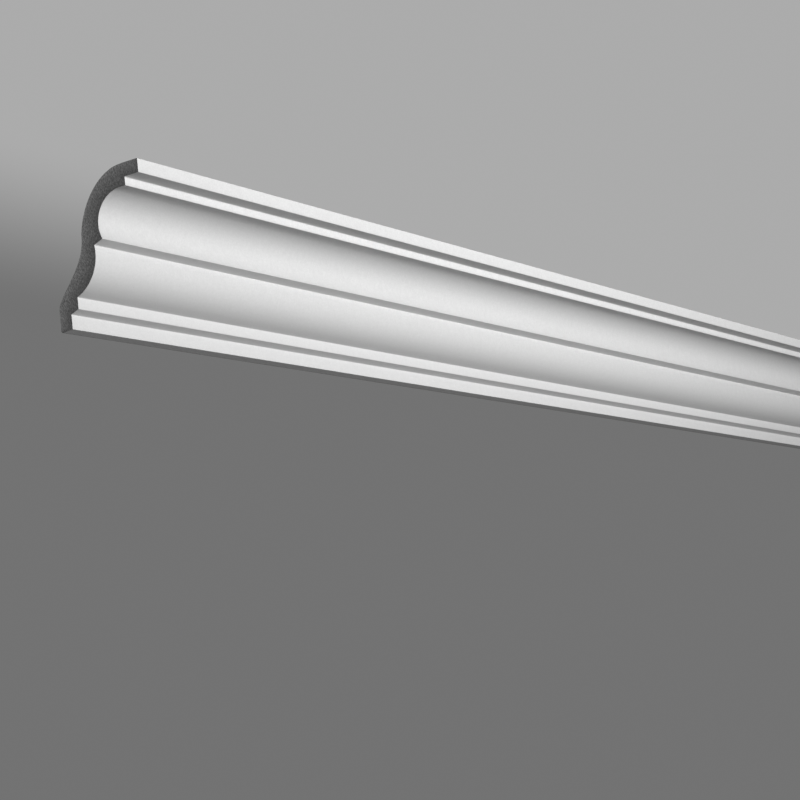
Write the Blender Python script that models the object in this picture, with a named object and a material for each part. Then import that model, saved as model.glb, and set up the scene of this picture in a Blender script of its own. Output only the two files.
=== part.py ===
"""A straight length of cornice moulding, with a flat strip on top and one behind for the adhesive.

Metres, +Z up. X runs along the moulding. The back strip lies in the plane y = 0 and the moulding
stands out from it towards -Y. The origin is the centre of the back strip.

The section is drawn in two measures: out, the distance from the plane of the back strip, and drop,
the distance below the plane of the top strip. It goes round the moulding from the top front edge
down the face and back up behind.
"""

import math

import bmesh
import bpy
from mathutils import Vector
from mathutils.geometry import interpolate_bezier

# Overall sizes
LENGTH = 1.540
HEIGHT = 0.120
PROJECTION = 0.0918

# Flat strips that take the adhesive
TOP_STRIP = 0.0225
BACK_STRIP = 0.0190

# Top of the face: a plain fascia, a step back under it, and a narrow fillet
FASCIA_HEIGHT = 0.0114
FASCIA_STEP = 0.0140
FILLET_HEIGHT = 0.0071

# Cove: a short flat under the fillet, then a hollow arc of this depth behind its own chord
COVE_FLAT = 0.0062
COVE_DEPTH = 0.0118

# Quirk: the slanted step from the bottom of the cove back to the top edge of the ovolo
QUIRK_DEPTH = 0.0088
QUIRK_FALL = 0.0032

# Ovolo: the out and drop of its top edge, and how far it swells past its chord
OVOLO_EDGE_OUT = 0.0414
OVOLO_EDGE_DROP = 0.0578
OVOLO_SWELL = 0.0080

# Bottom of the face: a bead, a slanted step, and a plain fascia down to the lower edge
BEAD_HEIGHT = 0.0095
BEAD_STEP = 0.0077
BEAD_STEP_FALL = 0.0028
FOOT_THICKNESS = 0.0120
FOOT_HEIGHT = 0.0117
UNDERSIDE_FALL = 0.0011

# Hollow back: its waist lies this far behind the ovolo's edge and this far above the cove's bottom
WAIST_THICKNESS = 0.0124
WAIST_RISE = 0.0056
BACK_TOP_SLOPE = math.radians(11.5)

# How far each end of the back's two curves runs before it turns, as a share of the curve's own span
TOP_REACH = 0.74
WAIST_REACH_UP = 0.25
WAIST_REACH_DOWN = 0.46
FOOT_REACH = 0.20

# Softened arrises, and the fineness of the curves
ARRIS_RADIUS = 0.0005
ARRIS_STEPS = 3
CHORD = 0.0015
CORNER_TURN = math.radians(20)
SMOOTH_TURN = math.radians(30)


def clear_scene():
    for old in list(bpy.data.objects):
        bpy.data.objects.remove(old)


def arc(start, end, bulge):
    """Points of the arc from start down to end, bulging forwards, or backwards if negative."""
    chord = end - start
    radius = (chord.length_squared / 4 + bulge ** 2) / (2 * abs(bulge))
    side = Vector((chord.y, -chord.x)).normalized() * math.copysign(1, bulge)
    centre = (start + end) / 2 + side * (abs(bulge) - radius)
    spoke = start - centre
    turn = spoke.angle_signed(end - centre)
    steps = math.ceil(radius * abs(turn) / CHORD)
    points = []
    for step in range(steps + 1):
        angle = -turn * step / steps
        points.append(centre + Vector((
            spoke.x * math.cos(angle) - spoke.y * math.sin(angle),
            spoke.x * math.sin(angle) + spoke.y * math.cos(angle),
        )))
    return points


def curve(start, start_handle, end_handle, end):
    """Points of the Bezier curve from start to end."""
    steps = math.ceil((end - start).length / CHORD)
    return interpolate_bezier(start, start_handle, end_handle, end, steps + 1)


def front_outline():
    """The face, from the top front edge down to the lowest edge behind."""
    fillet_out = PROJECTION - FASCIA_STEP
    cove_top = Vector((fillet_out - COVE_FLAT, FASCIA_HEIGHT + FILLET_HEIGHT))
    ovolo_top = Vector((OVOLO_EDGE_OUT, OVOLO_EDGE_DROP))
    cove_bottom = ovolo_top + Vector((QUIRK_DEPTH, -QUIRK_FALL))
    foot_bottom = HEIGHT - UNDERSIDE_FALL
    foot_top = foot_bottom - FOOT_HEIGHT
    bead_out = FOOT_THICKNESS + BEAD_STEP
    bead_bottom = foot_top - BEAD_STEP_FALL
    ovolo_bottom = Vector((bead_out, bead_bottom - BEAD_HEIGHT))
    points = [
        Vector((PROJECTION, 0)),
        Vector((PROJECTION, FASCIA_HEIGHT)),
        Vector((fillet_out, FASCIA_HEIGHT)),
        Vector((fillet_out, cove_top.y)),
    ]
    points += arc(cove_top, cove_bottom, -COVE_DEPTH)
    points += arc(ovolo_top, ovolo_bottom, OVOLO_SWELL)
    points += [
        Vector((bead_out, bead_bottom)),
        Vector((FOOT_THICKNESS, foot_top)),
        Vector((FOOT_THICKNESS, foot_bottom)),
        Vector((0, HEIGHT)),
    ]
    return points


def back_outline():
    """The hollow back, from the back strip up to the top strip."""
    lower_start = Vector((0, HEIGHT - BACK_STRIP))
    waist = Vector((
        OVOLO_EDGE_OUT - WAIST_THICKNESS,
        OVOLO_EDGE_DROP - QUIRK_FALL - WAIST_RISE,
    ))
    upper_end = Vector((PROJECTION - TOP_STRIP, 0))
    lower_span = lower_start.y - waist.y
    reach = TOP_REACH * (upper_end.x - waist.x)
    top_handle = upper_end + reach * Vector((-math.cos(BACK_TOP_SLOPE), math.sin(BACK_TOP_SLOPE)))
    lower = curve(
        lower_start,
        lower_start - Vector((0, FOOT_REACH * lower_span)),
        waist + Vector((0, WAIST_REACH_DOWN * lower_span)),
        waist,
    )
    upper = curve(
        waist,
        waist - Vector((0, WAIST_REACH_UP * waist.y)),
        top_handle,
        upper_end,
    )
    return lower + upper[1:]


def soften(points):
    """The same run of points with each sharp corner between its two ends eased to a small arc."""
    eased = [points[0]]
    for previous, corner, following in zip(points, points[1:], points[2:]):
        before = previous - corner
        after = following - corner
        turn = math.pi - before.angle(after)
        if turn < CORNER_TURN:
            eased.append(corner)
            continue
        shorter = min(before.length, after.length)
        trim = min(ARRIS_RADIUS * math.tan(turn / 2), 0.4 * shorter)
        first = corner + before.normalized() * trim
        last = corner + after.normalized() * trim
        for step in range(ARRIS_STEPS + 1):
            share = step / ARRIS_STEPS
            eased.append(first * (1 - share) ** 2 + corner * 2 * share * (1 - share) + last * share ** 2)
    eased.append(points[-1])
    return eased


def extrude_outline(name, outline, collection):
    """A solid of the outline, run along X and centred on it."""
    drawing = bpy.data.curves.new(name + "_section", "CURVE")
    drawing.dimensions = "2D"
    drawing.fill_mode = "BOTH"
    drawing.extrude = LENGTH / 2
    spline = drawing.splines.new("POLY")
    spline.points.add(len(outline) - 1)
    for point, place in zip(spline.points, outline):
        point.co = (place.x, place.y, 0, 1)
    spline.use_cyclic_u = True
    section = bpy.data.objects.new(name + "_section", drawing)
    section.rotation_euler = (math.radians(90), 0, math.radians(-90))
    collection.objects.link(section)
    bpy.context.view_layer.update()

    evaluated = section.evaluated_get(bpy.context.evaluated_depsgraph_get())
    mesh = bpy.data.meshes.new_from_object(evaluated)
    mesh.name = name
    body = bmesh.new()
    body.from_mesh(mesh)
    bmesh.ops.remove_doubles(body, verts=body.verts, dist=0.00001)
    bmesh.ops.recalc_face_normals(body, faces=body.faces)
    body.to_mesh(mesh)
    body.free()
    mesh.shade_smooth()
    mesh.set_sharp_from_angle(angle=SMOOTH_TURN)

    solid = bpy.data.objects.new(name, mesh)
    solid.matrix_world = section.matrix_world
    collection.objects.link(solid)
    bpy.data.objects.remove(section)
    return solid


def primed_foam():
    """Hard white foam with a factory coat of matt primer."""
    material = bpy.data.materials.new("primed_foam")
    material.use_nodes = True
    shader = material.node_tree.nodes["Principled BSDF"]
    shader.inputs["Base Color"].default_value = (0.80, 0.80, 0.80, 1)
    shader.inputs["Roughness"].default_value = 0.65
    shader.inputs["Metallic"].default_value = 0
    return material


def main():
    clear_scene()
    collection = bpy.data.collections.new("cornice_moulding_length")
    bpy.context.scene.collection.children.link(collection)

    # Height of the top strip above the middle of the back strip
    top = HEIGHT - BACK_STRIP / 2
    section = soften(front_outline()) + back_outline()
    outline = [Vector((point.x, top - point.y)) for point in section]
    moulding = extrude_outline("cornice_moulding", outline, collection)
    moulding.data.materials.append(primed_foam())


main()
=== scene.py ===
"""Looks of a straight length of cornice moulding: a primed foam face, raw cut ends and a hollow back.

Metres, +Z up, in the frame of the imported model. X runs along the moulding, its flat back strip lies
in the plane y = 0, and the face looks towards -Y. Points of the section are (distance out from that
plane, height).
"""

import math

import bmesh
import bpy
import numpy as np
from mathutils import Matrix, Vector, noise
from mathutils.geometry import delaunay_2d_cdt


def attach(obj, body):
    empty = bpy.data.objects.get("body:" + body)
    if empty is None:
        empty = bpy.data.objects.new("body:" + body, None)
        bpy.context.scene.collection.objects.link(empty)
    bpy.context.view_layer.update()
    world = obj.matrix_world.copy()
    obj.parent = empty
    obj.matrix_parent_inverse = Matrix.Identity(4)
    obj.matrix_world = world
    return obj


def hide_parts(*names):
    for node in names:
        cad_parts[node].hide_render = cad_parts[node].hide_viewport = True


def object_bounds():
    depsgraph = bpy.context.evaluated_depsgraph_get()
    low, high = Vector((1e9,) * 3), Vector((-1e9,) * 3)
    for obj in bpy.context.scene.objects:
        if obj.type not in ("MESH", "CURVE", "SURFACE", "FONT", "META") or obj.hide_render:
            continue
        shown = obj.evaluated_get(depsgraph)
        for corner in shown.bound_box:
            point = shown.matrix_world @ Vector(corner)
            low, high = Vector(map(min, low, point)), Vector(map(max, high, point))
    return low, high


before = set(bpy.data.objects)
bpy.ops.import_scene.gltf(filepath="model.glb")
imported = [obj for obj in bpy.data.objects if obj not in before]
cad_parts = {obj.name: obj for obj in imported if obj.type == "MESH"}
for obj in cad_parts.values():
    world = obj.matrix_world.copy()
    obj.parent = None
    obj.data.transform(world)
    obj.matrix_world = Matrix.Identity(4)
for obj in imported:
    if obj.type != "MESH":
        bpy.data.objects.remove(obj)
cad_low, cad_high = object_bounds()

MOULDING = "cornice_moulding"
STUDIO_LIT = "lit_by_studio"
MM = 0.001

# Camera, worked out from the vanishing point of the long edges and the size of the cut end
CAMERA_PLACE = (-1.9654, -1.0504, -0.3593)
CAMERA_TURN = (math.radians(99.69), math.radians(6.54), math.radians(-56.89))
SENSOR_WIDTH = 36
LENS = 92.25

# Mesh: spacing of the rings along the length and of the points across flats, and how near two
# points have to be to count as one
RING_SPACING = 8 * MM
END_RINGS = (0.3 * MM, 0.9 * MM, 2.0 * MM, 4.0 * MM)
FLAT_SPACING = 2.5 * MM
ARRIS_SUPPORT = 0.3 * MM
SMOOTH_TURN = math.radians(40)
WELD = 0.01 * MM

# Corners that the solid has sharp: how far each is eased, and the length that it needs beside it
SHARP_TURN = math.radians(30)
ARRIS_EASE = 0.6 * MM
ARRIS_ROOM = 1.8 * MM
ARRIS_STEPS = 4
BACK_CORNER_EASE = 2.0 * MM
HEEL_EASE = 7 * MM
HEEL_STEPS = 10

# Points across a cut: rows of even triangles, each point moved a little, clear of the border
CUT_SPACING = 1.1 * MM
CUT_ROW_SPACING = CUT_SPACING * math.sqrt(0.75)
CUT_JITTER = 0.2 * CUT_SPACING
CUT_CLEARANCE = 0.45 * MM
CUT_SEED = 11
CUT_NEARNESS = 1e-7

# Finishes in the order of the mesh's materials, and the values that they read from the mesh: the
# primer's share of painted shade and painted light, and how far a point lies from the face to the back
FACE_FINISH, CUT_FINISH, BACK_FINISH = range(3)
PAINTED_SHADE_LAYER = "coat_with_painted_shade"
FROM_FACE_LAYER = "from_face"

# Unevenness of the cast face: how deep and how long its slow waves are
WAVE_DEPTH = 0.10 * MM
WAVE_LENGTH = 95 * MM
WAVE_ACROSS = 28 * MM

# Cut ends: eased edge with small crumbled nicks, and saw marks across the foam. The nicks' fractal
# is given by its falling off, its step in scale and its number of steps
EDGE_EASE = 0.04 * MM
NICK_DEPTH = 0.24 * MM
NICK_LENGTH = 3.0 * MM
NICK_FRACTAL = (0.6, 2, 2)
DEEPEST_NICK = 0.30 * MM
SAW_DEPTH = 0.10 * MM
SAW_PITCH = 2.4 * MM
SAW_RUN = 30 * MM
SAW_WANDER = (6 * MM, 25 * MM)
SAW_SLANT = math.radians(10)
CELL_DEPTH = 0.07 * MM
CELL_SIZE = 1.6 * MM

# Layers of the noise that each kind of relief is read from, so that no two are alike
WAVE_LAYER = 0.3
NICK_LAYER = 4.7
SAW_LAYER = 2.5
CELL_LAYER = 8.1

# Painted shade and painted light on the primer, as a share between its grey in painted shade and in
# painted light: the share on a plain front, how far along the section it reaches, and how much it
# changes: painted shade beside ledges with a painted highlight on the faces that stand out there,
# painted shade at the lower edge of each band, painted shade deepening down to the foot, painted shade
# on flanks, and painted light on the underside
PAINTED_SHADE_PLAIN = 0.5
PAINTED_SHADE_REACH = 6 * MM
LOWER_EDGE_REACH = 2 * MM
PAINTED_LEDGE_SHADE_AND_HIGHLIGHT = 0.34
PAINTED_LOWER_EDGE_SHADE = 0.29
PAINTED_SHADE_TO_FOOT = 0.15
PAINTED_FLANK_SHADE = 0.21
UNDERSIDE_HEIGHT = 1.2 * MM
PAINTED_UNDERSIDE_LIGHT = 0.80

# The part of a noise's range that holds nearly all of its values
MOST_NOISE = (0.3, 0.7)

# Places of the factor and the two colours among a mix node's inputs, and of its colour when mixed
MIX_INPUTS = (0, 6, 7)
MIX_RESULT = 2

# Each finish: the sizes of its patterns, how some are drawn out along an axis, and how deep their
# bumps are. Its mottling gives, for each pattern, the span of it that counts, the shares of the
# tint at the two ends of that span, and the tint, which is one grey or red, green and blue

# White primer, whose grey is first given in its deepest painted shade and in its brightest painted
# light. A cell has a pinhole where its random number is past PINHOLE_CELLS, and the pinhole fades out
# over PINHOLE_EDGE, as a share of the spacing
PRIMER_IN_PAINTED_SHADE = 0.46
PRIMER_IN_PAINTED_LIGHT = 0.87
CLOUD_SIZE = 30 * MM
CLOUD_DRAWN = (0.25, 1, 1)
PEEL_SIZE = 5 * MM
PEEL_DEPTH = 0.10 * MM
LINE_SIZE = 0.8 * MM
LINES_DRAWN = (0.02, 1, 1)
LINE_DEPTH = 0.02 * MM
STIPPLE_SIZE = 1.5 * MM
STIPPLE_DEPTH = 0.06 * MM
PINHOLE_SPACING = 11 * MM
PINHOLE_CELLS = (0.72, 0.74)
PINHOLE_EDGE = (0.018, 0.030)
PINHOLE_TINT = 0.45
PRIMER_ROUGHNESS = (0.52, 0.62)
PRIMER_MOTTLING = {
    "cloud": (MOST_NOISE, (0, 0.10), 0.58),
    "peel": (MOST_NOISE, (0, 0.17), 0.50),
    "stipple": (MOST_NOISE, (0, 0.30), 0.50),
}

# Sawn foam, with a darker grey beside the face and a paler one beside the back
FOAM_BY_FACE = 0.50
FOAM_BY_BACK = 0.96
STROKE_SIZE = 0.5 * MM
STROKES_DRAWN = (1, 1, 0.24)
STROKE_DEPTH = 0.12 * MM
OPEN_CELL_SIZE = 0.55 * MM
OPEN_CELL_DEPTH = 0.14 * MM
SPECKLE_SIZE = 0.7 * MM
BLOTCH_SIZE = 7 * MM
FOAM_MOTTLING = {
    "blotch": ((0.35, 0.65), (0, 0.12), 0.6),
    "strokes": ((0.40, 0.60), (0, 0.72), 0.30),
    "speckle": ((0.40, 0.58), (0.35, 0), 1.7),
    "cells": ((0.10, 0.45), (0.40, 0), 0.5),
}

# Plain skin of the back, between two tints that follow its flow marks
SKIN_DARK = (0.67, 0.66, 0.635)
SKIN_PALE = (0.75, 0.745, 0.72)
FLOW_SIZE = 6 * MM
FLOW_DRAWN = (0.10, 1, 1)
FLOW_DEPTH = 0.25 * MM
PORE_SIZE = 1.1 * MM
PORE_DEPTH = 0.06 * MM
PATCH_SIZE = 35 * MM
SKIN_MOTTLING = {
    "patch": ((0.4, 0.7), (0, 0.25), (0.64, 0.63, 0.60)),
    "pores": ((0.58, 0.70), (0, 0.6), (0.45, 0.44, 0.42)),
}

# Soft lights: place, point aimed at, width, height and watts
SOFT_LIGHTS = {
    "key": ((-0.34, -2.10, 0.09), (-0.34, 0, 0.05), 0.66, 0.35, 47.8),
    "back": ((0, 2.20, 1.30), (0, 0, 0.05), 1.5, 0.5, 56),
    "right_end": ((1.9, 0.30, 0.50), (0.77, 0, 0.05), 0.5, 0.5, 4),
    "left_end": ((-2.0, 0.45, 0.08), (-0.77, 0, 0.05), 0.5, 0.5, 1.12),
}

# Light from all round, from above and from below, and how softly the one turns into the other
AMBIENT = 0.085
GLOW_BELOW = 0.115
GLOW_BLEND = 0.2

# Soft backdrop that the camera sees, darker low and pale high. It turns pale between two slopes, as
# rise over reach along Y, with a least reach
BACKDROP_LOW = 0.170
BACKDROP_HIGH = 0.41
BACKDROP_START = 0.345
BACKDROP_END = 0.485
BACKDROP_NARROWEST = 0.3

# Floor, its fading out from the middle, its two greys, the size of its cloud, and its own light
FLOOR_LEVEL = -2.3
FLOOR_RADIUS = 38
FLOOR_SIDES = 96
FLOOR_FADES_FROM = 5
FLOOR_FADES_TO = 34
FLOOR_DARK = 0.74
FLOOR_PALE = 0.77
FLOOR_CLOUD = 0.8
FLOOR_LIGHT = 1.6
FLOOR_LIGHT_SPREAD = math.radians(60)


def section_outline():
    """The node's section in order, from the top front edge down the face and back up behind."""
    solid = bmesh.new()
    solid.from_mesh(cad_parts[MOULDING].data)
    bmesh.ops.remove_doubles(solid, verts=solid.verts, dist=WELD)
    rim = {}
    for edge in solid.edges:
        on_end = all(abs(vert.co.x - cad_low.x) < WELD for vert in edge.verts)
        beside_face = any(abs(face.normal.x) < 0.5 for face in edge.link_faces)
        if on_end and beside_face:
            first, second = edge.verts
            rim.setdefault(first, []).append(second)
            rim.setdefault(second, []).append(first)
    start = min(rim, key=lambda vert: vert.co.y - vert.co.z)
    previous, current = start, min(rim[start], key=lambda vert: vert.co.z)
    ordered = [start]
    while current is not start:
        ordered.append(current)
        following = next(vert for vert in rim[current] if vert is not previous)
        previous, current = current, following
    outline = [Vector((-vert.co.y, vert.co.z)) for vert in ordered]
    solid.free()
    return outline


def with_corners_eased(outline):
    """The closed outline with each corner that is still sharp rounded a little."""
    eased = []
    for index, point in enumerate(outline):
        before = outline[index - 1] - point
        after = outline[(index + 1) % len(outline)] - point
        turn = math.pi - before.angle(after)
        if turn < SHARP_TURN or min(before.length, after.length) < ARRIS_ROOM:
            eased.append(point)
            continue
        ease = BACK_CORNER_EASE if point.x < WELD else ARRIS_EASE
        first = point + before.normalized() * ease
        last = point + after.normalized() * ease
        for step in range(ARRIS_STEPS + 1):
            share = step / ARRIS_STEPS
            eased.append(first.lerp(point, share).lerp(point.lerp(last, share), share))
    return eased


def with_heel_eased(outline):
    """The closed outline with its last corner, where the back meets the top strip, drawn out long."""
    heel = outline[-1]
    kept = [point for point in outline if (point - heel).length > HEEL_EASE]
    first = kept[-1]
    slope = (first - kept[-2]).normalized()
    corner = first + slope * (heel.y - first.y) / slope.y
    last = Vector((heel.x + HEEL_EASE, heel.y))
    for step in range(1, HEEL_STEPS + 1):
        share = step / HEEL_STEPS
        kept.append(first.lerp(corner, share).lerp(corner.lerp(last, share), share))
    return kept


def with_flats_divided(outline):
    """The closed outline with close points beside each arris and even ones across each flat."""
    divided = []
    for index, point in enumerate(outline):
        following = outline[(index + 1) % len(outline)]
        length = (following - point).length
        divided.append(point)
        if length < FLAT_SPACING:
            continue
        inner = length - 2 * ARRIS_SUPPORT
        steps = math.ceil(inner / FLAT_SPACING)
        for step in range(steps + 1):
            reach = ARRIS_SUPPORT + inner * step / steps
            divided.append(point.lerp(following, reach / length))
    return divided


def outward_normals(outline):
    """The unit normal of the closed outline at each point, pointing out of the foam."""
    normals = []
    for index in range(len(outline)):
        along = outline[(index + 1) % len(outline)] - outline[index - 1]
        normals.append(Vector((-along.y, along.x)).normalized())
    return normals


def painted_shade_shares(outline, normals):
    """The primer's share of painted light at each point: 0 in its deepest painted shade, 1 in its
    brightest painted light.
    """
    facing = np.array([max(0, normal.x) for normal in normals])
    steps = np.array([(point - outline[index - 1]).length for index, point in enumerate(outline)])
    places = steps.cumsum() - steps[0]
    weights = (steps + np.roll(steps, -1)) / 2
    offset = np.abs(places[:, None] - places)
    offset = np.minimum(offset, steps.sum() - offset)
    near = np.exp(-0.5 * (offset / PAINTED_SHADE_REACH) ** 2) * weights
    around = near @ facing / near.sum(1)
    ahead = places - places[:, None]
    close = np.exp(-0.5 * (ahead / LOWER_EDGE_REACH) ** 2) * weights * (ahead >= 0)
    below = close @ facing / close.sum(1)
    heights = np.array([point.y for point in outline])
    rise = (heights - heights.min()) / (heights.max() - heights.min()) - 0.5
    flank = 4 * facing * (1 - facing)
    # Painted highlight on faces that stand out beside ledges, painted shade in recesses, towards the foot
    # and on flanks
    shares = PAINTED_SHADE_PLAIN + PAINTED_LEDGE_SHADE_AND_HIGHLIGHT * (facing - around) + PAINTED_SHADE_TO_FOOT * rise - PAINTED_FLANK_SHADE * flank
    # Painted shade at the lower edge of each band
    shares -= PAINTED_LOWER_EDGE_SHADE * (facing - below)
    # Painted light on the underside
    underside = heights < heights.min() + UNDERSIDE_HEIGHT
    shares[underside] += PAINTED_UNDERSIDE_LIGHT
    return shares


def ring_places():
    """Places of the rings along X, closer together at the two cut ends."""
    inner = END_RINGS[-1]
    clear_length = cad_high.x - cad_low.x - 2 * inner
    steps = math.ceil(clear_length / RING_SPACING)
    middle = [cad_low.x + inner + clear_length * step / steps for step in range(steps + 1)]
    left = [cad_low.x] + [cad_low.x + reach for reach in END_RINGS[:-1]]
    right = [cad_high.x - reach for reach in reversed(END_RINGS[:-1])] + [cad_high.x]
    return left + middle + right


def wave(x, distance):
    """How far the cast skin dips below its true surface, from 0 to WAVE_DEPTH."""
    height = noise.noise(Vector((x / WAVE_LENGTH, distance / WAVE_ACROSS, WAVE_LAYER)))
    return WAVE_DEPTH * (0.5 - 0.5 * height)


def nick(x, distance):
    """How far the edge of a cut has crumbled, mostly little and here and there more."""
    place = Vector((distance / NICK_LENGTH, x, NICK_LAYER))
    height = noise.fractal(place, *NICK_FRACTAL)
    return EDGE_EASE + NICK_DEPTH * max(0, height)


def cut_relief(point, end):
    """How far the sawn foam lies below the plane of the cut, at least 0."""
    across = point.x * math.cos(SAW_SLANT) + point.y * math.sin(SAW_SLANT)
    along = point.y * math.cos(SAW_SLANT) - point.x * math.sin(SAW_SLANT)
    wander = noise.noise(Vector((across / SAW_WANDER[0], along / SAW_WANDER[1], end)))
    stroke = noise.noise(Vector((across / SAW_PITCH, along / SAW_RUN + wander, end + SAW_LAYER)))
    cell = noise.noise(Vector((point.x / CELL_SIZE, point.y / CELL_SIZE, end + CELL_LAYER)))
    return SAW_DEPTH * (0.5 + 0.5 * stroke) + CELL_DEPTH * (0.5 + 0.5 * cell)


def is_inside(places, border):
    """Whether each place lies inside the closed border, by counting the edges to its right."""
    ends = np.roll(border, -1, axis=0)
    level = places[:, 1:2]
    crosses = (border[:, 1] > level) != (ends[:, 1] > level)
    rise = ends[:, 1] - border[:, 1]
    rise = np.where(rise == 0, 1, rise)
    reach = border[:, 0] + (level - border[:, 1]) * (ends[:, 0] - border[:, 0]) / rise
    return (crosses & (places[:, 0:1] < reach)).sum(1) % 2 == 1


def points_inside(border):
    """A loose lattice of points inside the border and clear of it."""
    low, high = border.min(0), border.max(0)
    columns = np.arange(low[0], high[0], CUT_SPACING)
    rows = np.arange(low[1], high[1], CUT_ROW_SPACING)
    random = np.random.default_rng(CUT_SEED)
    grid_x, grid_y = np.meshgrid(columns, rows)
    grid_x = grid_x + (np.arange(len(rows)) % 2)[:, None] * CUT_SPACING / 2
    places = np.stack([grid_x.ravel(), grid_y.ravel()], 1)
    places += random.uniform(-CUT_JITTER, CUT_JITTER, places.shape)

    run = np.roll(border, -1, axis=0) - border
    offset = places[:, None] - border
    share = (offset * run).sum(2) / (run * run).sum(1)
    nearest = border + run * share.clip(0, 1)[:, :, None]
    distance = np.linalg.norm(places[:, None] - nearest, axis=2).min(1)
    return places[is_inside(places, border) & (distance > CUT_CLEARANCE)]


def share_from_face(places, border, face_count):
    """For each place of a cut: 0 at the moulded face, 1 at the back."""
    distance = np.linalg.norm(places[:, None] - border, axis=2)
    to_face = distance[:, :face_count].min(1)
    to_back = distance[:, face_count:].min(1)
    return to_face / (to_face + to_back)


def add_cut(mesh, ring, face_count, x, end, layer):
    """Closes one end with a finely divided sawn face. end is -1 on the left and 1 on the right."""
    border = np.array([(-vert.co.y, vert.co.z) for vert in ring])
    places = np.concatenate([border, points_inside(border)])
    shares = share_from_face(places, border, face_count)
    verts = list(ring)
    for place, share in zip(places[len(ring):], shares[len(ring):]):
        point = Vector(place)
        vert = mesh.verts.new((x - end * cut_relief(point, end), -point.x, point.y))
        vert[layer] = share
        verts.append(vert)

    edges = [(index, (index + 1) % len(ring)) for index in range(len(ring))]
    corners, _, triangles, sources, _, _ = delaunay_2d_cdt(
        [Vector(place) for place in places], edges, [], 0, CUT_NEARNESS, True
    )
    centres = np.array([[tuple(corners[corner]) for corner in triangle] for triangle in triangles])
    for triangle, inside in zip(triangles, is_inside(centres.mean(1), border)):
        if inside:
            face = mesh.faces.new([verts[sources[corner][0]] for corner in triangle])
            face.material_index = CUT_FINISH


def distances_along(outline):
    """How far each point lies from the first one, along the outline."""
    distances = [0]
    for previous, point in zip(outline, outline[1:]):
        distances.append(distances[-1] + (point - previous).length)
    return distances


def sunk(point, normal, depth):
    """The point moved in by depth, but still in the plane of the flat strip that it lies on."""
    place = point - normal * depth
    if point.x < WELD:
        place.x = 0
    if point.y > cad_high.z - WELD:
        place.y = cad_high.z
    return place


def join_rings(mesh, ring, following, face_count):
    """A strip of faces between two rings, in the face's finish and then in the back's."""
    for index in range(len(ring)):
        neighbour = (index + 1) % len(ring)
        face = mesh.faces.new((ring[index], ring[neighbour], following[neighbour], following[index]))
        face.material_index = FACE_FINISH if index < face_count - 1 else BACK_FINISH


def moulding_mesh():
    """The whole skin: a fine grid round the section and along the length, closed by two cuts."""
    outline = with_flats_divided(with_corners_eased(with_heel_eased(section_outline())))
    normals = outward_normals(outline)
    # Painted shade and painted light of the primer at each point of the section
    painted_shades = painted_shade_shares(outline, normals)
    distances = distances_along(outline)
    face_count = 1 + next(index for index, point in enumerate(outline) if point.x < WELD)

    mesh = bmesh.new()
    layer = mesh.verts.layers.float.new(FROM_FACE_LAYER)
    painted_shade_layer = mesh.verts.layers.float.new(PAINTED_SHADE_LAYER)
    rings = []
    places = ring_places()
    for x in places:
        at_end = x in (places[0], places[-1])
        ring = []
        for index, point in enumerate(outline):
            depth = wave(x, distances[index])
            if at_end:
                depth = min(depth + nick(x, distances[index]), DEEPEST_NICK)
            place = sunk(point, normals[index], depth)
            vert = mesh.verts.new((x, -place.x, place.y))
            vert[layer] = 0 if index < face_count else 1
            vert[painted_shade_layer] = painted_shades[index]
            ring.append(vert)
        rings.append(ring)
    for ring, following in zip(rings, rings[1:]):
        join_rings(mesh, ring, following, face_count)
    add_cut(mesh, rings[0], face_count, places[0], -1, layer)
    add_cut(mesh, rings[-1], face_count, places[-1], 1, layer)
    bmesh.ops.recalc_face_normals(mesh, faces=mesh.faces)

    data = bpy.data.meshes.new("moulding")
    mesh.to_mesh(data)
    mesh.free()
    data.shade_smooth()
    data.set_sharp_from_angle(angle=SMOOTH_TURN)
    return data


def add_object(name, data):
    """A new object of the scene that holds the data."""
    thing = bpy.data.objects.new(name, data)
    bpy.context.scene.collection.objects.link(thing)
    return thing


def feed(tree, socket, value):
    """Links the socket to value if that is a socket too, and sets it to value if not."""
    if isinstance(value, bpy.types.NodeSocket):
        tree.links.new(value, socket)
    else:
        socket.default_value = value


def set_inputs(tree, node, **inputs):
    """Feeds inputs of the node, each under its name with _ for a space."""
    for name, value in inputs.items():
        feed(tree, node.inputs[name.replace("_", " ")], value)


def add_node(tree, kind, settings=None, **inputs):
    """A shader node with its settings and inputs."""
    node = tree.nodes.new(kind)
    for name, value in (settings or {}).items():
        setattr(node, name, value)
    set_inputs(tree, node, **inputs)
    return node


def new_material(name):
    """A material, with its node tree and its shader."""
    material = bpy.data.materials.new(name)
    material.use_nodes = True
    tree = material.node_tree
    return material, tree, tree.nodes["Principled BSDF"]


def rgba(tint):
    """The colour of a tint, which is one grey or red, green and blue."""
    red, green, blue = tint if isinstance(tint, tuple) else (tint, tint, tint)
    return red, green, blue, 1


def place_on_object(tree):
    return add_node(tree, "ShaderNodeTexCoord").outputs["Object"]


def mapped(tree, place, **mapping):
    """The place with Rotation about the axes or Scale along them."""
    return add_node(tree, "ShaderNodeMapping", Vector=place, **mapping).outputs["Vector"]


def noise_at(tree, place, size, detail=2, roughness=0.5):
    """Soft noise from 0 to 1 whose lumps are about this size, in metres."""
    texture = add_node(
        tree, "ShaderNodeTexNoise", Vector=place, Scale=1 / size, Detail=detail, Roughness=roughness
    )
    return texture.outputs["Fac"]


def cells_at(tree, place, size):
    """A texture of loose cells of about this size, in metres."""
    return add_node(tree, "ShaderNodeTexVoronoi", Vector=place, Scale=1 / size, Randomness=1)


def mesh_value(tree, layer):
    """The value that the mesh has in this layer."""
    return add_node(tree, "ShaderNodeAttribute", {"attribute_name": layer}).outputs["Fac"]


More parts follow.
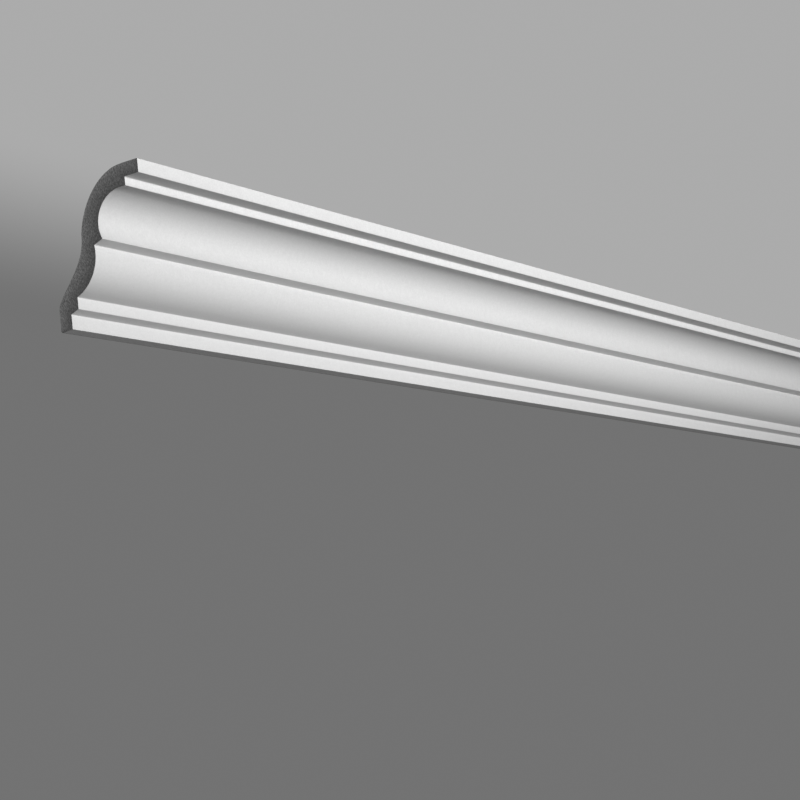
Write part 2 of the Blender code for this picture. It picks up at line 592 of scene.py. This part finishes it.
def ramp(tree, value, low, high, to_low=0, to_high=1, shape="LINEAR"):
    """value, from low to high, mapped on to_low to to_high and held there."""
    limits = {"From_Min": low, "From_Max": high, "To_Min": to_low, "To_Max": to_high}
    node = add_node(tree, "ShaderNodeMapRange", {"interpolation_type": shape}, Value=value, **limits)
    return node.outputs["Result"]


def calculate(tree, operation, *values):
    """The result of an operation on numbers or sockets."""
    node = add_node(tree, "ShaderNodeMath", {"operation": operation})
    for socket, value in zip(node.inputs, values):
        feed(tree, socket, value)
    return node.outputs["Value"]


def mix(tree, factor, first, second, kind="MIX"):
    """Two colours mixed by a factor."""
    node = add_node(tree, "ShaderNodeMix", {"data_type": "RGBA", "blend_type": kind})
    for index, value in zip(MIX_INPUTS, (factor, first, second)):
        feed(tree, node.inputs[index], value)
    return node.outputs[MIX_RESULT]


def mottled(tree, colour, patterns, mottling, kind="MIX"):
    """The colour with each pattern's tint laid over it, in the order of the mottling."""
    for name, (span, shares, tint) in mottling.items():
        colour = mix(tree, ramp(tree, patterns[name], *span, *shares), colour, rgba(tint), kind)
    return colour


def relief(tree, *layers):
    """The normal of a surface with layers of bumps, each given as its height and depth in metres."""
    normal = None
    for height, depth in layers:
        node = add_node(tree, "ShaderNodeBump", Strength=1, Distance=depth, Height=height)
        if normal:
            feed(tree, node.inputs["Normal"], normal)
        normal = node.outputs["Normal"]
    return normal


def white_primer():
    """Matt sprayed primer with painted shade and painted light: a faint cloud along the length, a fine
    stipple and a few pinholes.
    """
    material, tree, shader = new_material("white_primer")
    place = place_on_object(tree)
    drawn = mapped(tree, place, Scale=CLOUD_DRAWN)
    combed = mapped(tree, place, Scale=LINES_DRAWN)
    cloud = noise_at(tree, drawn, CLOUD_SIZE, detail=3, roughness=0.6)
    peel = noise_at(tree, place, PEEL_SIZE)
    lines = noise_at(tree, combed, LINE_SIZE)
    stipple = noise_at(tree, place, STIPPLE_SIZE)
    cells = cells_at(tree, place, PINHOLE_SPACING)
    chosen = ramp(tree, cells.outputs["Color"], *PINHOLE_CELLS)
    hole = ramp(tree, cells.outputs["Distance"], *PINHOLE_EDGE, 1, 0)
    pinhole = calculate(tree, "MULTIPLY", chosen, hole)

    # Painted shade and painted light from the mesh: the primer's grey between its painted shade and its
    # painted light
    painted_shade_share = ramp(tree, mesh_value(tree, PAINTED_SHADE_LAYER), 0, 1)
    coat_with_painted_shade = mix(tree, painted_shade_share, rgba(PRIMER_IN_PAINTED_SHADE), rgba(PRIMER_IN_PAINTED_LIGHT))
    patterns = {"cloud": cloud, "peel": peel, "stipple": stipple}
    coat_with_painted_shade = mottled(tree, coat_with_painted_shade, patterns, PRIMER_MOTTLING)
    coat_with_painted_shade = mix(tree, pinhole, coat_with_painted_shade, rgba(PINHOLE_TINT))
    roughness = ramp(tree, cloud, *MOST_NOISE, *PRIMER_ROUGHNESS)
    normal = relief(tree, (peel, PEEL_DEPTH), (lines, LINE_DEPTH), (stipple, STIPPLE_DEPTH))
    set_inputs(tree, shader, Base_Color=coat_with_painted_shade, Roughness=roughness, Normal=normal, Specular_IOR_Level=0.35)
    return material


def sawn_foam():
    """Raw foam as the saw leaves it: open cells, steep fine strokes, and darker towards the face."""
    material, tree, shader = new_material("sawn_foam")
    place = place_on_object(tree)
    turned = mapped(tree, place, Rotation=(SAW_SLANT, 0, 0))
    drawn = mapped(tree, turned, Scale=STROKES_DRAWN)
    strokes = noise_at(tree, drawn, STROKE_SIZE, detail=1, roughness=0.6)
    speckle = noise_at(tree, place, SPECKLE_SIZE, detail=1)
    blotch = noise_at(tree, place, BLOTCH_SIZE)
    cells = cells_at(tree, place, OPEN_CELL_SIZE).outputs["Distance"]

    from_face = ramp(tree, mesh_value(tree, FROM_FACE_LAYER), 0, 1)
    foam = mix(tree, from_face, rgba(FOAM_BY_FACE), rgba(FOAM_BY_BACK))
    patterns = {"blotch": blotch, "strokes": strokes, "speckle": speckle, "cells": cells}
    foam = mottled(tree, foam, patterns, FOAM_MOTTLING, "MULTIPLY")
    normal = relief(tree, (strokes, STROKE_DEPTH), (cells, OPEN_CELL_DEPTH))
    set_inputs(tree, shader, Base_Color=foam, Roughness=0.9, Normal=normal, Specular_IOR_Level=0.2)
    return material


def back_skin():
    """The unprimed back as it leaves the mould: plain foam skin with faint flow marks."""
    material, tree, shader = new_material("back_skin")
    place = place_on_object(tree)
    drawn = mapped(tree, place, Scale=FLOW_DRAWN)
    flow = noise_at(tree, drawn, FLOW_SIZE, detail=4, roughness=0.65)
    patch = noise_at(tree, place, PATCH_SIZE, detail=3)
    pores = noise_at(tree, place, PORE_SIZE)

    skin = mix(tree, ramp(tree, flow, *MOST_NOISE), rgba(SKIN_DARK), rgba(SKIN_PALE))
    skin = mottled(tree, skin, {"patch": patch, "pores": pores}, SKIN_MOTTLING)
    normal = relief(tree, (flow, FLOW_DEPTH), (pores, PORE_DEPTH))
    set_inputs(tree, shader, Base_Color=skin, Roughness=0.75, Normal=normal)
    return material


def floor_paint():
    """Pale studio floor with a barely visible cloud, which fades into the backdrop far out."""
    material, tree, shader = new_material("floor_paint")
    place = place_on_object(tree)
    cloud = noise_at(tree, place, FLOOR_CLOUD, detail=3)
    paint = mix(tree, ramp(tree, cloud, *MOST_NOISE), rgba(FLOOR_DARK), rgba(FLOOR_PALE))
    reach = add_node(tree, "ShaderNodeVectorMath", {"operation": "LENGTH"}, Vector=place)
    fade = ramp(tree, reach.outputs["Value"], FLOOR_FADES_FROM, FLOOR_FADES_TO, 1, 0, "SMOOTHSTEP")
    set_inputs(tree, shader, Base_Color=paint, Roughness=0.8, Alpha=fade)
    return material


def make_moulding():
    data = moulding_mesh()
    for material in (white_primer(), sawn_foam(), back_skin()):
        data.materials.append(material)
    moulding = add_object("moulding", data)
    bpy.data.collections.new(STUDIO_LIT).objects.link(moulding)
    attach(moulding, "root")
    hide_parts(MOULDING)


def make_floor():
    """A wide round floor with a light of its own, and no glow from it on the moulding."""
    data = bpy.data.meshes.new("floor")
    disc = bmesh.new()
    bmesh.ops.create_circle(disc, cap_ends=True, radius=FLOOR_RADIUS, segments=FLOOR_SIDES)
    disc.to_mesh(data)
    disc.free()
    data.materials.append(floor_paint())
    floor = add_object("floor", data)
    floor.location = (0, 0, FLOOR_LEVEL)
    floor.visible_diffuse = False
    floor.visible_glossy = False

    lamp = bpy.data.lights.new("floor_light", "SUN")
    lamp.energy = FLOOR_LIGHT
    lamp.angle = FLOOR_LIGHT_SPREAD
    lit = bpy.data.collections.new("lit_by_floor_light")
    lit.objects.link(floor)
    add_object("floor_light", lamp).light_linking.receiver_collection = lit


def add_soft_light(name, place, aim, width, height, watts):
    """A rectangular light at place that faces the point aim and lights only the moulding."""
    data = bpy.data.lights.new(name, "AREA")
    data.shape = "RECTANGLE"
    data.size = width
    data.size_y = height
    data.energy = watts
    light = add_object(name, data)
    light.location = place
    light.rotation_euler = (Vector(aim) - Vector(place)).to_track_quat("-Z", "Y").to_euler()
    light.visible_camera = False
    light.light_linking.receiver_collection = bpy.data.collections[STUDIO_LIT]


def make_world():
    """Even light all round, with a soft backdrop in its place where the camera looks past the part."""
    world = bpy.data.worlds.new("studio")
    world.use_nodes = True
    tree = world.node_tree
    direction = add_node(tree, "ShaderNodeTexCoord").outputs["Generated"]
    parts = add_node(tree, "ShaderNodeSeparateXYZ", Vector=direction)
    upward = parts.outputs["Z"]
    reach = calculate(tree, "MAXIMUM", calculate(tree, "ABSOLUTE", parts.outputs["Y"]), BACKDROP_NARROWEST)
    slope = calculate(tree, "DIVIDE", upward, reach)
    backdrop = ramp(
        tree, slope, BACKDROP_START, BACKDROP_END, BACKDROP_LOW, BACKDROP_HIGH, "SMOOTHSTEP"
    )
    glow = mix(tree, ramp(tree, upward, -GLOW_BLEND, GLOW_BLEND), rgba(GLOW_BELOW), rgba(AMBIENT))
    seen = add_node(tree, "ShaderNodeLightPath").outputs["Is Camera Ray"]
    set_inputs(tree, tree.nodes["Background"], Color=mix(tree, seen, glow, backdrop))
    bpy.context.scene.world = world


def make_camera():
    data = bpy.data.cameras.new("camera")
    data.sensor_width = SENSOR_WIDTH
    data.lens = LENS
    camera = add_object("camera", data)
    camera.location = CAMERA_PLACE
    camera.rotation_euler = CAMERA_TURN
    bpy.context.scene.camera = camera


make_camera()
make_moulding()
make_floor()
for name, settings in SOFT_LIGHTS.items():
    add_soft_light(name, *settings)
make_world()
bpy.context.scene.view_settings.view_transform = "Standard"
